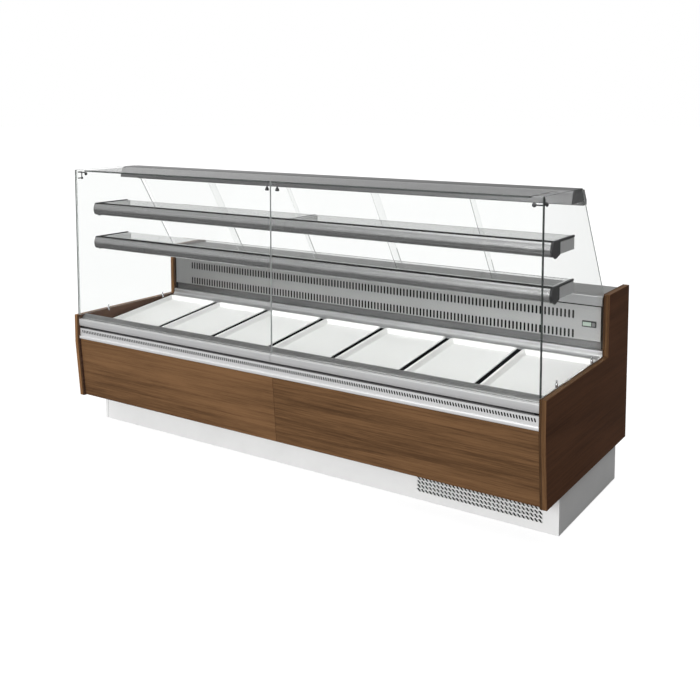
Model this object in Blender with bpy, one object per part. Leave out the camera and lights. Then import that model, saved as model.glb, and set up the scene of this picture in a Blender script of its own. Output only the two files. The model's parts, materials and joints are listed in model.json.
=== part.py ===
"""Refrigerated serve-over display counter with trays, glass shelves and an under-deck cold store.

X runs along the counter, the customer side faces -Y, and Z = 0 is the floor.
Profiles are given as (distance behind the front face, height), in metres.
"""

from math import atan2, cos, pi, sin

import bmesh
import bpy
from mathutils import Matrix

# ---- driving dimensions -------------------------------------------------------------------------
LENGTH = 2.500
DEPTH = 0.950
GAP = 0.0003               # air left between pieces that touch
SIDE_T = 0.028             # side panel thickness
BODY_BOTTOM = 0.160
SIDE_FRONT_TOP = 0.578
SIDE_REAR_TOP = 0.843
STEP_AT = 0.685            # where the side panel steps up to the worktop
FOLD_Z = 0.440             # below this the front leans back
LEAN = 0.0245
GLASS_TOP = 1.308
GLASS_T = 0.008
INNER = LENGTH / 2 - SIDE_T            # inner face of each side panel
FIT = INNER - 0.0007                   # half length of what runs between the side panels

PLINTH_HALF = LENGTH / 2 - 0.012
PLINTH_FRONT = 0.181
PLINTH_REAR = 0.848
PLINTH_TOP = 0.1585
SHEET = 0.002
GRILLE_X = (0.622, 1.178)
GRILLE_Z = (0.032, 0.144)
GRILLE_ROWS = 4
GRILLE_SLOT = 0.012

TRAY_COUNT = 7
TRAY_WIDTH = 0.325
TRAY_LENGTH = 0.530
TRAY_DEPTH = 0.020
TRAY_RIM = 0.012
TRAY_SLOPE = 0.110         # tilt of the trays in radians, rising towards the back
TRAY_FRONT = 0.128
TRAY_FRONT_Z = 0.514
TRAY_PITCH = 2 * INNER / TRAY_COUNT

SHELF_TOPS = {"upper": 1.132, "lower": 0.962}
SHELF_END_X = 1.2165
CAP_T = 0.007
ARM_W = 0.0275

DOOR_COUNT = 5
DOOR_T = 0.005
DOOR_OVERLAP = 0.030
DOOR_BOTTOM_Z = 0.827
DOOR_TOP_Z = 1.243
LEAN_FOOT = (0.682, 0.843)             # two points of the leaning rear plane
LEAN_HEAD = (0.400, 1.308)
LEAN_RISE = LEAN_HEAD[1] - LEAN_FOOT[1]
LEAN_RUN = LEAN_FOOT[0] - LEAN_HEAD[0]
LEAN_ANGLE = atan2(LEAN_RUN, LEAN_RISE)
LEAN_COS = cos(LEAN_ANGLE)
TRACK_NEAR = 0.002                     # offset of each door track behind the leaning plane
TRACK_FAR = 0.014
SLOT_HALF = 0.0035
DOOR_RUN = 1.2145                      # half length covered by the sliding doors

RESERVE_DOORS = {"reserve_door_1": (-1.2105, -0.4555), "reserve_door_2": (-0.4455, 0.3095)}
RESERVE_DOOR_Z = (0.185, 0.610)
BULKHEAD_X = (0.318, 0.336)

FLAT = 0.001               # faces within this angle are merged into one
FAN_SEGMENTS = 24
BLADE_PITCH = 0.45
EVAPORATOR_FANS = {"evaporator_fan_1": -0.55, "evaporator_fan_2": 0.55}
EVAPORATOR_FAN_Z = 0.455
EVAPORATOR_FAN_R = 0.040
CONDENSER_FAN_AT = (0.880, 0.318, 0.168)
CONDENSER_FAN_R = 0.105

PAINTS = {
    "walnut": ((0.168, 0.092, 0.048), 0.45, 0.0),
    "dark_walnut": ((0.052, 0.026, 0.016), 0.45, 0.0),
    "satin_aluminium": ((0.62, 0.62, 0.63), 0.32, 1.0),
    "stainless": ((0.55, 0.55, 0.56), 0.28, 1.0),
    "white_paint": ((0.80, 0.80, 0.80), 0.40, 0.0),
    "white_panel": ((0.78, 0.79, 0.79), 0.45, 0.0),
    "grey_paint": ((0.42, 0.43, 0.44), 0.45, 0.0),
    "galvanised": ((0.45, 0.46, 0.47), 0.42, 1.0),
    "clear_glass": ((0.92, 0.96, 0.95), 0.03, 0.0),
    "white_tray": ((0.86, 0.86, 0.85), 0.35, 0.0),
    "black_plastic": ((0.025, 0.025, 0.027), 0.50, 0.0),
    "opal_plastic": ((0.88, 0.88, 0.86), 0.55, 0.0),
    "black_steel": ((0.030, 0.030, 0.032), 0.40, 0.0),
    "foam_liner": ((0.74, 0.75, 0.76), 0.50, 0.0),
}


# ---- helpers ------------------------------------------------------------------------------------
def clear_scene():
    for obj in list(bpy.data.objects):
        bpy.data.objects.remove(obj)


def paint(obj, slot):
    material = bpy.data.materials.get(slot)
    if material is None:
        colour, roughness, metallic = PAINTS[slot]
        material = bpy.data.materials.new(slot)
        material.use_nodes = True
        shader = material.node_tree.nodes["Principled BSDF"]
        shader.inputs["Base Color"].default_value = (*colour, 1.0)
        shader.inputs["Roughness"].default_value = roughness
        shader.inputs["Metallic"].default_value = metallic
    obj.data.materials.append(material)


def finish_mesh(name, bm, slot, at=(0.0, 0.0, 0.0), tilt=0.0):
    bmesh.ops.recalc_face_normals(bm, faces=bm.faces)
    mesh = bpy.data.meshes.new(name)
    bm.to_mesh(mesh)
    bm.free()
    obj = bpy.data.objects.new(name, mesh)
    obj.location = at
    obj.rotation_euler = (tilt, 0.0, 0.0)
    bpy.context.collection.objects.link(obj)
    if slot:
        paint(obj, slot)
    return obj


def bevel(obj, width, segments=1):
    modifier = obj.modifiers.new("bevel", "BEVEL")
    modifier.width = width
    modifier.segments = segments
    modifier.limit_method = "ANGLE"


def behind(distance):
    """Y of a point this far behind the front face."""
    return distance - DEPTH / 2


def prism(name, profile, low, high, slot, axis="x"):
    """Extrude a closed profile from low to high: (behind, height) along X, or (x, height) along Y."""
    bm = bmesh.new()
    if axis == "x":
        points = [(low, behind(f), z) for f, z in profile]
        step = (high - low, 0.0, 0.0)
    else:
        points = [(x, behind(low), z) for x, z in profile]
        step = (0.0, high - low, 0.0)
    face = bm.faces.new([bm.verts.new(p) for p in points])
    grown = bmesh.ops.extrude_face_region(bm, geom=[face])
    moved = [g for g in grown["geom"] if isinstance(g, bmesh.types.BMVert)]
    bmesh.ops.translate(bm, verts=moved, vec=step)
    return finish_mesh(name, bm, slot)


def inside(boxes, x, f, z):
    return any(b[0] < x < b[1] and b[2] < f < b[3] and b[4] < z < b[5] for b in boxes)


def block_solid(name, boxes, slot, cuts=()):
    """One closed solid from boxes (x0, x1, f0, f1, z0, z1) that share faces, less the cuts."""
    grid = [sorted({b[k] for b in (*boxes, *cuts) for k in (2 * a, 2 * a + 1)}) for a in range(3)]
    cells = set()
    for i in range(len(grid[0]) - 1):
        for j in range(len(grid[1]) - 1):
            for k in range(len(grid[2]) - 1):
                mid = [(grid[a][n] + grid[a][n + 1]) / 2 for a, n in enumerate((i, j, k))]
                if inside(boxes, *mid) and not inside(cuts, *mid):
                    cells.add((i, j, k))
    bm = bmesh.new()
    corners = {}

    def corner(i, j, k):
        if (i, j, k) not in corners:
            corners[i, j, k] = bm.verts.new((grid[0][i], behind(grid[1][j]), grid[2][k]))
        return corners[i, j, k]

    for cell in sorted(cells):
        for axis in range(3):
            for side in (0, 1):
                beyond = list(cell)
                beyond[axis] += 2 * side - 1
                if tuple(beyond) in cells:
                    continue
                others = [a for a in range(3) if a != axis]
                loop = []
                for du, dv in ((0, 0), (1, 0), (1, 1), (0, 1)):
                    place = list(cell)
                    place[axis] += side
                    place[others[0]] += du
                    place[others[1]] += dv
                    loop.append(corner(*place))
                bm.faces.new(loop)
    bmesh.ops.recalc_face_normals(bm, faces=bm.faces)
    bmesh.ops.dissolve_limit(bm, angle_limit=FLAT, verts=bm.verts, edges=bm.edges)
    return finish_mesh(name, bm, slot)


def box(name, x0, x1, f0, f1, z0, z1, slot):
    return block_solid(name, [(x0, x1, f0, f1, z0, z1)], slot)


def cylinder(name, centre, radius, length, axis, slot, segments=FAN_SEGMENTS):
    """A closed cylinder with its axis along Y or Z, centred on (x, behind, z)."""
    bm = bmesh.new()
    bmesh.ops.create_cone(bm, cap_ends=True, segments=segments, radius1=radius, radius2=radius,
                          depth=length)
    x, f, z = centre
    return finish_mesh(name, bm, slot, (x, behind(f), z), pi / 2 if axis == "y" else 0.0)


def combine(obj, other, operation):
    """Boolean with a helper object that stays in the file as a hidden wire guide."""
    modifier = obj.modifiers.new(other.name, "BOOLEAN")
    modifier.operation = operation
    modifier.object = other
    other.hide_render = True
    other.display_type = "WIRE"


def lean_at(height, offset=0.0):
    """Distance behind the front of the leaning rear plane, pushed back by offset square to it."""
    climb = height - LEAN_FOOT[1]
    return LEAN_FOOT[0] - climb * LEAN_RUN / LEAN_RISE + offset / LEAN_COS


# ---- wooden body and front rail -----------------------------------------------------------------
def make_side_panels():
    profile = [
        (0.0, FOLD_Z), (0.0, SIDE_FRONT_TOP), (STEP_AT, SIDE_FRONT_TOP), (STEP_AT, SIDE_REAR_TOP),
        (DEPTH, SIDE_REAR_TOP), (DEPTH, BODY_BOTTOM), (LEAN, BODY_BOTTOM),
    ]
    for name, side in (("side_panel_left", -1), ("side_panel_right", 1)):
        low, high = sorted((side * INNER, side * LENGTH / 2))
        bevel(prism(name, profile, low, high, "dark_walnut"), 0.0008)


def make_front_panels():
    setback = 0.012
    board = 0.018
    top = 0.4555
    profile = [
        (setback, FOLD_Z), (setback, top), (setback + board, top), (setback + board, FOLD_Z),
        (setback + board + LEAN, BODY_BOTTOM + 0.003), (setback + LEAN, BODY_BOTTOM + 0.003),
    ]
    for name, low, high in (("front_panel_left", -FIT, -0.0006), ("front_panel_right", 0.0006, FIT)):
        bevel(prism(name, profile, low, high, "walnut"), 0.0006)


def make_front_rail():
    nose = [
        (0.004, 0.5200), (0.004, 0.5550), (0.006, 0.5572), (0.0185, 0.5580), (0.0225, 0.5640),
        (0.0510, 0.5768), (0.0550, 0.5755), (0.0555, 0.5300), (0.0160, 0.5200),
    ]
    prism("front_rail", nose, -FIT, FIT, "satin_aluminium")
    vent = [
        (0.0040, 0.4600), (0.0060, 0.4575), (0.0280, 0.4575), (0.0300, 0.4600), (0.0300, 0.5180),
        (0.0190, 0.5180), (0.0160, 0.5110), (0.0100, 0.5110), (0.0100, 0.4740), (0.0040, 0.4710),
    ]
    prism("vent_profile", vent, -FIT, FIT, "satin_aluminium")


# ---- cold well ----------------------------------------------------------------------------------
def make_tub():
    profile = [
        (0.0420, 0.3720), (0.0420, 0.5190), (0.0660, 0.5190), (0.0660, 0.4020), (0.7150, 0.4020),
        (0.7150, 0.7900), (0.7450, 0.7900), (0.7450, 0.3720),
    ]
    prism("insulated_tub", profile, -FIT, FIT, "foam_liner")


def make_deck_supports():
    rim_z = TRAY_FRONT_Z - 0.0022
    grille = [
        (0.0665, 0.5000), (0.0665, 0.5060), (0.1290, 0.5060), (0.1290, rim_z), (0.1375, rim_z),
        (0.1375, 0.5000),
    ]
    prism("return_air_grille", grille, -FIT, FIT, "satin_aluminium")
    ledge = [
        (0.6450, 0.5610), (0.6450, 0.5688), (0.6700, 0.5688), (0.6840, 0.5780), (0.6840, 0.5990),
        (0.6870, 0.6025), (0.7120, 0.6025), (0.7120, 0.5610),
    ]
    prism("rear_ledge", ledge, -FIT, FIT, "satin_aluminium")


def make_duct():
    panel = [
        (0.6900, 0.7850), (0.6900, 0.6380), (0.7000, 0.6330), (0.7000, 0.6035),
        (0.7020, 0.6035), (0.7020, 0.6343), (0.6920, 0.6393), (0.6920, 0.7850),
    ]
    prism("duct_panel", panel, -1.209, 1.209, "stainless")
    bevel(box("thermometer", 1.130, 1.190, 0.6815, 0.6897, 0.6955, 0.7220, "black_plastic"), 0.001)


def rounded_outline(width, length, radius, steps):
    points = []
    corners = ((1, 1, 0.0), (-1, 1, pi / 2), (-1, -1, pi), (1, -1, 1.5 * pi))
    for sx, sy, start in corners:
        for k in range(steps + 1):
            turn = start + k * pi / 2 / steps
            points.append((sx * (width / 2 - radius) + radius * cos(turn),
                           sy * (length / 2 - radius) + radius * sin(turn)))
    return points


def make_trays():
    wall = 0.0015
    taper = 0.006
    # each ring: distance in from the rim's edge, height from the rim's top face
    rings = (
        (TRAY_RIM + taper, -TRAY_DEPTH), (TRAY_RIM, 0.0), (0.0, 0.0), (0.0, -wall),
        (TRAY_RIM - wall, -wall), (TRAY_RIM + taper - wall, -TRAY_DEPTH - wall),
    )
    middle = TRAY_FRONT + TRAY_LENGTH / 2 * cos(TRAY_SLOPE)
    height = TRAY_FRONT_Z + TRAY_LENGTH / 2 * sin(TRAY_SLOPE)
    for number in range(TRAY_COUNT):
        bm = bmesh.new()
        loops = []
        for inset, z in rings:
            radius = 0.024 - inset
            outline = rounded_outline(TRAY_WIDTH - 2 * inset, TRAY_LENGTH - 2 * inset,
                                      max(radius, 0.006), 3)
            loops.append([bm.verts.new((x, y, z)) for x, y in outline])
        for upper, lower in zip(loops, loops[1:]):
            for k in range(len(upper)):
                after = (k + 1) % len(upper)
                bm.faces.new((upper[k], upper[after], lower[after], lower[k]))
        bm.faces.new(loops[0])
        bm.faces.new(loops[-1])
        x = (number - (TRAY_COUNT - 1) / 2) * TRAY_PITCH
        tray = finish_mesh(f"tray_{number + 1}", bm, "white_tray", (x, behind(middle), height),
                           TRAY_SLOPE)
        tray.data.shade_smooth()
        tray.data.set_sharp_from_angle(angle=pi / 6)


def fan(name, centre, radius, hub_radius, width, blades, slot):
    """A fan turning about Y: a hub with pitched blades rooted in it."""
    hub = cylinder(name, centre, hub_radius, width, "y", slot)
    for number in range(blades):
        turn = 2 * pi * number / blades
        bm = bmesh.new()
        bmesh.ops.create_cube(bm, size=1.0)
        root = hub_radius * 0.6
        bmesh.ops.scale(bm, verts=bm.verts, vec=(radius - root, 0.0018, hub_radius * 1.3))
        bmesh.ops.rotate(bm, verts=bm.verts, matrix=Matrix.Rotation(BLADE_PITCH, 3, "X"))
        bmesh.ops.translate(bm, verts=bm.verts, vec=((radius + root) / 2, 0.0, 0.0))
        blade = finish_mesh(f"{name}_blade_{number + 1}", bm, None)
        x, f, z = centre
        blade.location = (x, behind(f), z)
        blade.rotation_euler = (0.0, turn, 0.0)
        combine(hub, blade, "UNION")
    return hub


def comb(name, x0, x1, f0, f1, z0, z1, fins, slot):
    """A finned coil: a comb of fins standing on a thin core."""
    fin_share, core_share = 0.25, 0.12
    pitch = (x1 - x0) / (fins - 1 + fin_share)
    fin = pitch * fin_share
    core = z0 + (z1 - z0) * core_share
    profile = [(x0, z0), (x1, z0)]
    for k in range(fins):
        right = x1 - k * pitch
        profile += [(right, z1), (right - fin, z1)]
        if k < fins - 1:
            profile += [(right - fin, core), (right - pitch, core)]
    return prism(name, profile, f0, f1, slot, axis="y")


def make_evaporator():
    comb("evaporator_coil", -1.05, 1.05, 0.380, 0.600, 0.4100, 0.4850, 24, "satin_aluminium")
    plate = box("fan_plate", -1.15, 1.15, 0.300, 0.302, 0.4025, 0.5000, "galvanised")
    for name, x in EVAPORATOR_FANS.items():
        hole = cylinder(f"{name}_hole", (x, 0.301, EVAPORATOR_FAN_Z), EVAPORATOR_FAN_R + 0.003,
                        0.020, "y", None)
        combine(plate, hole, "DIFFERENCE")
        fan(name, (x, 0.278, EVAPORATOR_FAN_Z), EVAPORATOR_FAN_R, 0.014, 0.024, 5, "black_plastic")


# ---- base, plinth and machine bay ---------------------------------------------------------------
def make_base():
    tube = 0.028
    top = 0.140
    front, rear = 0.187, 0.830
    end = 1.190
    boxes = [(-end, end, front, front + tube, top - tube, top),
             (-end, end, rear - tube, rear, top - tube, top)]
    for x in (-end, -0.430, 0.335, end - tube):
        boxes.append((x, x + tube, front, rear, top - tube, top))
        for f in (front, rear - 2 * tube):
            boxes.append((x, x + tube, f, f + 2 * tube, 0.0, top - tube))
    boxes.append((0.335, end, 0.360, rear, top - 0.004, top))
    block_solid("base_frame", boxes, "galvanised")
    make_plinth()


def make_plinth():
    """A folded sheet skirt with the machine bay's air slots cut through its front."""
    ring = [(-PLINTH_HALF, PLINTH_HALF, PLINTH_FRONT, PLINTH_REAR, 0.0, PLINTH_TOP)]
    cuts = [(-PLINTH_HALF + SHEET, PLINTH_HALF - SHEET, PLINTH_FRONT + SHEET, PLINTH_REAR - SHEET,
             0.0, PLINTH_TOP)]
    pitch = (GRILLE_Z[1] - GRILLE_Z[0]) / GRILLE_ROWS
    for row in range(GRILLE_ROWS):
        z = GRILLE_Z[0] + (row + 0.5) * pitch
        cuts.append((*GRILLE_X, PLINTH_FRONT, PLINTH_FRONT + SHEET,
                     z - GRILLE_SLOT / 2, z + GRILLE_SLOT / 2))
    block_solid("plinth", ring, "white_paint", cuts)


def lathe(name, centre, rings, slot, segments=FAN_SEGMENTS):
    """A turned solid about Z from (radius, height) rings, closed by flat ends."""
    bm = bmesh.new()
    loops = []
    for radius, z in rings:
        loops.append([bm.verts.new((radius * cos(2 * pi * k / segments),
                                    radius * sin(2 * pi * k / segments), z))
                      for k in range(segments)])
    for lower, upper in zip(loops, loops[1:]):
        for k in range(segments):
            after = (k + 1) % segments
            bm.faces.new((lower[k], lower[after], upper[after], upper[k]))
    bm.faces.new(loops[0])
    bm.faces.new(loops[-1])
    x, f, z = centre
    obj = finish_mesh(name, bm, slot, (x, behind(f), z))
    obj.data.shade_smooth()
    obj.data.set_sharp_from_angle(angle=pi / 5)
    return obj


def make_machine_bay():
    radius = 0.085
    height = 0.200
    dome = 0.045
    rings = [(0.100, 0.0), (0.100, 0.012), (radius, 0.014), (radius, height - dome)]
    steps = 5
    for k in range(1, steps):
        turn = k * pi / 2 / steps
        rings.append((radius * cos(turn), height - dome + dome * sin(turn)))
    lathe("compressor", (0.560, 0.600, 0.1405), rings, "black_steel")
    x, f, z = CONDENSER_FAN_AT
    half = 0.150
    comb("condenser_coil", x - half - 0.02, x + half + 0.02, 0.228, 0.262, 0.030, 0.300, 20,
         "black_steel")
    shroud = box("fan_shroud", x - half, x + half, 0.264, 0.292, 0.030, 0.306, "black_steel")
    throat = cylinder("shroud_throat", (x, 0.278, z), CONDENSER_FAN_R + 0.006, 0.060, "y", None)
    combine(shroud, throat, "DIFFERENCE")
    fan("condenser_fan", (x, f, z), CONDENSER_FAN_R, 0.030, 0.040, 5, "black_plastic")
    box("machine_bulkhead", *BULKHEAD_X, 0.150, 0.9025, 0.163, 0.3715, "foam_liner")


# ---- service side -------------------------------------------------------------------------------
def make_reserve():
    liner = [
        (0.100, 0.163), (0.100, 0.3715), (0.120, 0.3715), (0.120, 0.183), (0.9025, 0.183),
        (0.9025, 0.163),
    ]
    prism("reserve_liner", liner, -FIT, BULKHEAD_X[0] - GAP, "foam_liner")
    frame = [(-FIT, FIT, 0.903, 0.920, BODY_BOTTOM + 0.003, 0.7985)]
    low, high = 0.200, 0.595
    openings = [(x0 + 0.018, x1 - 0.018, 0.903, 0.920, low, high)
                for x0, x1 in RESERVE_DOORS.values()]
    openings.append((0.352, 1.190, 0.903, 0.920, low, high))
    block_solid("rear_frame", frame, "white_panel", openings)
    for name, (x0, x1) in RESERVE_DOORS.items():
        make_reserve_door(name, x0, x1)
    louvres = [(0.420, 1.120, 0.9205, 0.9225, 0.240 + 0.040 * k, 0.252 + 0.040 * k)
               for k in range(8)]
    block_solid("machine_cover", [(0.3245, 1.2105, 0.9205, 0.9225, 0.185, 0.610)], "white_paint",
                louvres)


def make_reserve_door(name, x0, x1):
    """An overlay door; its grip is the groove under the top edge, and its pivot is on the left."""
    low, high = RESERVE_DOOR_Z
    profile = [
        (0.928, low), (0.946, low), (0.946, high - 0.030), (0.938, high - 0.024),
        (0.938, high - 0.012), (0.946, high - 0.004), (0.946, high), (0.928, high),
    ]
    door = prism(name, profile, x0, x1, "white_panel")
    pivot_x = x0 + 0.009
    pivot_y = behind(0.937)
    for vertex in door.data.vertices:
        vertex.co.x -= pivot_x
        vertex.co.y -= pivot_y
    door.location = (pivot_x, pivot_y, 0.0)


def make_controls():
    panel = [(0.620, 0.900, 0.9205, 0.9285, 0.665, 0.755)]
    pockets = [(0.655, 0.685, 0.9225, 0.9285, 0.688, 0.732),
               (0.800, 0.822, 0.9225, 0.9285, 0.699, 0.721)]
    block_solid("control_panel", panel, "grey_paint", pockets)
    rocker = [(0.9232, 0.7100), (0.9232, 0.7290), (0.9262, 0.7290), (0.9272, 0.7100),
              (0.9352, 0.6910), (0.9308, 0.6910)]
    prism("light_switch", rocker, 0.6555, 0.6845, "black_plastic")
    bevel(box("thermostat_button", 0.8010, 0.8210, 0.9250, 0.9310, 0.7000, 0.7200,
              "black_plastic"), 0.001)


def make_worktop():
    front, rear = 0.7165, 0.9360
    top, skirt = 0.8300, 0.8000
    profile = [
        (front, skirt), (front, top), (rear, top), (rear, skirt), (rear - SHEET, skirt),
        (rear - SHEET, top - SHEET), (front + SHEET, top - SHEET), (front + SHEET, skirt),
    ]
    prism("worktop", profile, -FIT, FIT, "stainless")


# ---- glazing, canopy and sliding doors ----------------------------------------------------------
def make_tracks():
    half = 1.2165

    def slot_sides(height):
        return [lean_at(height, offset + side * SLOT_HALF)
                for offset in (TRACK_NEAR, TRACK_FAR) for side in (-1, 1)]

    rim, floor = 0.832, 0.822
    top, low = slot_sides(rim), slot_sides(floor)
    lower = [(0.680, 0.792), (0.680, rim - 0.002), (0.682, rim)]
    for k in (0, 2):
        lower += [(top[k], rim), (low[k], floor), (low[k + 1], floor), (top[k + 1], rim)]
    lower += [(0.716, rim), (0.716, 0.792)]
    prism("door_track_lower", lower, -half, half, "satin_aluminium")
    rim, roof = 1.238, 1.250
    edge, deep = slot_sides(rim), slot_sides(roof)
    upper = [(0.4205, 1.300), (0.4205, rim)]
    for k in (0, 2):
        upper += [(edge[k], rim), (deep[k], roof), (deep[k + 1], roof), (edge[k + 1], rim)]
    upper += [(0.473, rim), (0.473, 1.256), (0.445, 1.300)]
    prism("door_track_upper", upper, -half, half, "satin_aluminium")


def make_sliding_doors():
    pitch = 2 * DOOR_RUN / DOOR_COUNT
    length = (DOOR_TOP_Z - DOOR_BOTTOM_Z) / LEAN_COS
    middle = (DOOR_TOP_Z + DOOR_BOTTOM_Z) / 2
    for number in range(DOOR_COUNT):
        low = max(-DOOR_RUN + number * pitch - DOOR_OVERLAP / 2, -DOOR_RUN)
        high = min(-DOOR_RUN + (number + 1) * pitch + DOOR_OVERLAP / 2, DOOR_RUN)
        offset = TRACK_NEAR if number % 2 else TRACK_FAR
        bm = bmesh.new()
        bmesh.ops.create_cube(bm, size=1.0)
        bmesh.ops.scale(bm, verts=bm.verts, vec=(high - low, DOOR_T, length))
        bmesh.ops.rotate(bm, verts=bm.verts, matrix=Matrix.Rotation(LEAN_ANGLE, 3, "X"))
        finish_mesh(f"rear_door_{number + 1}", bm, "clear_glass",
                    ((low + high) / 2, behind(lean_at(middle, offset)), middle))


def make_glazing():
    outer = LENGTH / 2 - 0.024
    end = [
        (0.0123, SIDE_FRONT_TOP + GAP), (0.0123, GLASS_TOP), (LEAN_HEAD[0], GLASS_TOP),
        (STEP_AT - 0.001, SIDE_REAR_TOP), (STEP_AT - 0.001, SIDE_FRONT_TOP + GAP),
    ]
    prism("end_glass_left", end, -outer, -outer + GLASS_T, "clear_glass")
    prism("end_glass_right", end, outer - GLASS_T, outer, "clear_glass")
    foot = 0.5625
    notch = SIDE_FRONT_TOP + 0.003
    pane = [(0.001, foot), (FIT - 0.001, foot), (FIT - 0.001, notch), (outer, notch),
            (outer, GLASS_TOP), (0.001, GLASS_TOP)]
    prism("front_glass_right", pane, 0.004, 0.004 + GLASS_T, "clear_glass", axis="y")
    prism("front_glass_left", [(-x, z) for x, z in pane], 0.004, 0.004 + GLASS_T, "clear_glass",
          axis="y")
    box("top_glass", -1.165, 1.165, 0.0135, 0.3035, 1.3000, 1.3060, "clear_glass")


def make_canopy():
    beam = [
        (0.2960, 1.2540), (0.3060, 1.2960), (0.3160, 1.3040), (0.3300, 1.3070), (0.4200, 1.3070),
        (0.4200, 1.2540), (0.3900, 1.2540), (0.3900, 1.2570), (0.4170, 1.2570), (0.4170, 1.3040),
        (0.3310, 1.3040), (0.3180, 1.3010), (0.3090, 1.2945), (0.3005, 1.2570), (0.3300, 1.2570),
        (0.3300, 1.2540),
    ]
    prism("canopy_beam", beam, -1.2160, 1.2160, "satin_aluminium")
    cover = [
        (0.3305, 1.2540), (0.3305, 1.2560), (0.3895, 1.2560), (0.3895, 1.2540), (0.3800, 1.2515),
        (0.3400, 1.2515),
    ]
    prism("light_diffuser", cover, -1.2100, 1.2100, "opal_plastic")


def make_shelves():
    for level, top in SHELF_TOPS.items():
        beam = [
            (0.1180, top), (0.1100, top - 0.010), (0.1040, top - 0.028), (0.1060, top - 0.044),
            (0.1180, top - 0.057), (0.1500, top - 0.060), (0.1860, top - 0.050),
            (0.1860, top - 0.0075), (0.1400, top - 0.0075), (0.1340, top),
        ]
        half = SHELF_END_X - CAP_T - GAP
        prism(f"shelf_beam_{level}", beam, -half, half, "satin_aluminium")
        box(f"shelf_glass_{level}", -half, half, 0.1405, 0.3350, top - 0.0065, top - 0.0005,
            "clear_glass")
        for side, sign in (("left", -1), ("right", 1)):
            cap = [
                (0.1150, top + 0.0010), (0.1040, top - 0.012), (0.1000, top - 0.030),
                (0.1080, top - 0.050), (0.1450, top - 0.066), (0.1850, top - 0.055),
                (0.3370, top - 0.055), (0.3370, top + 0.0010),
            ]
            low, high = sorted((sign * (SHELF_END_X - CAP_T), sign * SHELF_END_X))
            end = prism(f"shelf_end_{level}_{side}", cap, low, high, "black_plastic")
            low, high = sorted((sign * (SHELF_END_X - ARM_W), sign * (SHELF_END_X - CAP_T / 2)))
            arm = box(f"arm_{level}_{side}", low, high, 0.1870, 0.3360, top - 0.053, top - 0.0075,
                      None)
            combine(end, arm, "UNION")


clear_scene()
make_side_panels()
make_front_panels()
make_front_rail()
make_tub()
make_deck_supports()
make_duct()
make_trays()
make_evaporator()
make_base()
make_machine_bay()
make_reserve()
make_controls()
make_worktop()
make_tracks()
make_sliding_doors()
make_glazing()
make_canopy()
make_shelves()
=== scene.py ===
"""Looks of a refrigerated serve-over display counter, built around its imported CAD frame.

Places are (x, distance behind the front face, height above the floor), in metres.
"""

import json
from math import cos, pi, radians, sin, tau

import bmesh
import bpy
from mathutils import Matrix, Vector

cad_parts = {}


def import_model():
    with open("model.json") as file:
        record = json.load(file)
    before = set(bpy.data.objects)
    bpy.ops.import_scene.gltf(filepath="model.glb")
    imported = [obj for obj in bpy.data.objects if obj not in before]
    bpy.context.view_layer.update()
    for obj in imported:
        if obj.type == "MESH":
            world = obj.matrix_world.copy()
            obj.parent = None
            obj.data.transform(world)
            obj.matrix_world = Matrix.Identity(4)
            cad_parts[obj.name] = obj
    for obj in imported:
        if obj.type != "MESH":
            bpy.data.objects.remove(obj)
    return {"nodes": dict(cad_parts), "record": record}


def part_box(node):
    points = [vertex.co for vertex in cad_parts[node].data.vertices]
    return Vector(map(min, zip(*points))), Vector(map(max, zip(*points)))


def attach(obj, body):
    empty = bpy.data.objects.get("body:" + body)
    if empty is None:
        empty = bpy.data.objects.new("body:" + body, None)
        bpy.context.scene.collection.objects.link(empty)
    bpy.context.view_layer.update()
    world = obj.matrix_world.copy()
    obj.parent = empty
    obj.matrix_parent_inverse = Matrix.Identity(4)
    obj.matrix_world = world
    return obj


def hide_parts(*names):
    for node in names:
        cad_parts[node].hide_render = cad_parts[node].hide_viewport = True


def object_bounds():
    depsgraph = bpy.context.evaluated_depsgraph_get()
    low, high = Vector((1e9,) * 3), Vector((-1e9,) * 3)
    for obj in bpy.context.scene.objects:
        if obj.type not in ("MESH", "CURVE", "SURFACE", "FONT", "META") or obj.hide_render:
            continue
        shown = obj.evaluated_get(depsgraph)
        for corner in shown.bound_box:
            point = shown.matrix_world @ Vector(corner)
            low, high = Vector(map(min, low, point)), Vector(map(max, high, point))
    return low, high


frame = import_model()
CAD_LOW, CAD_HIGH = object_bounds()

CABINET = "cabinet"


# ---- places read from the frame -----------------------------------------------------------------
def behind(distance):
    """Y of a point this far behind the front face."""
    return CAD_LOW.y + distance


def span(node):
    """(x0, x1, f0, f1, z0, z1) of a CAD node, with f measured behind the front face."""
    low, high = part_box(node)
    return low.x, high.x, low.y - CAD_LOW.y, high.y - CAD_LOW.y, low.z, high.z


def body_of(node):
    return next(body for body, nodes in frame["record"]["behaviour"]["bodies"].items()
                if node in nodes)


INNER = span("side_panel_right")[0]          # inner face of each side panel
SIDE_OUT = CAD_HIGH.x
RAIL_HALF = span("front_rail")[1]
SILL = 0.578                                 # top of the side panels under the end glass
TRAYS = [f"tray_{n}" for n in range(1, 8)]
DOORS = [f"rear_door_{n}" for n in range(1, 6)]
TRAY_TILT = 0.110
TRAY_LENGTH = 0.530
TRAY_FRONT, TRAY_FOOT = 0.128, 0.514         # the low front edge of the trays
TRAY_RISE = Matrix.Rotation(TRAY_TILT, 4, "X")
TRAY_MIDDLE_F = TRAY_FRONT + TRAY_LENGTH / 2 * cos(TRAY_TILT)
TRAY_MIDDLE_Z = TRAY_FOOT + TRAY_LENGTH / 2 * sin(TRAY_TILT)


# ---- material building blocks -------------------------------------------------------------------
MATERIALS = {}


def add_node(tree, kind, **values):
    """A shader node with its inputs and settings filled in by name."""
    made = tree.nodes.new(kind)
    for label, value in values.items():
        key = label.replace("_", " ")
        if key in made.inputs:
            made.inputs[key].default_value = value
        else:
            setattr(made, label, value)
    return made


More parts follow.
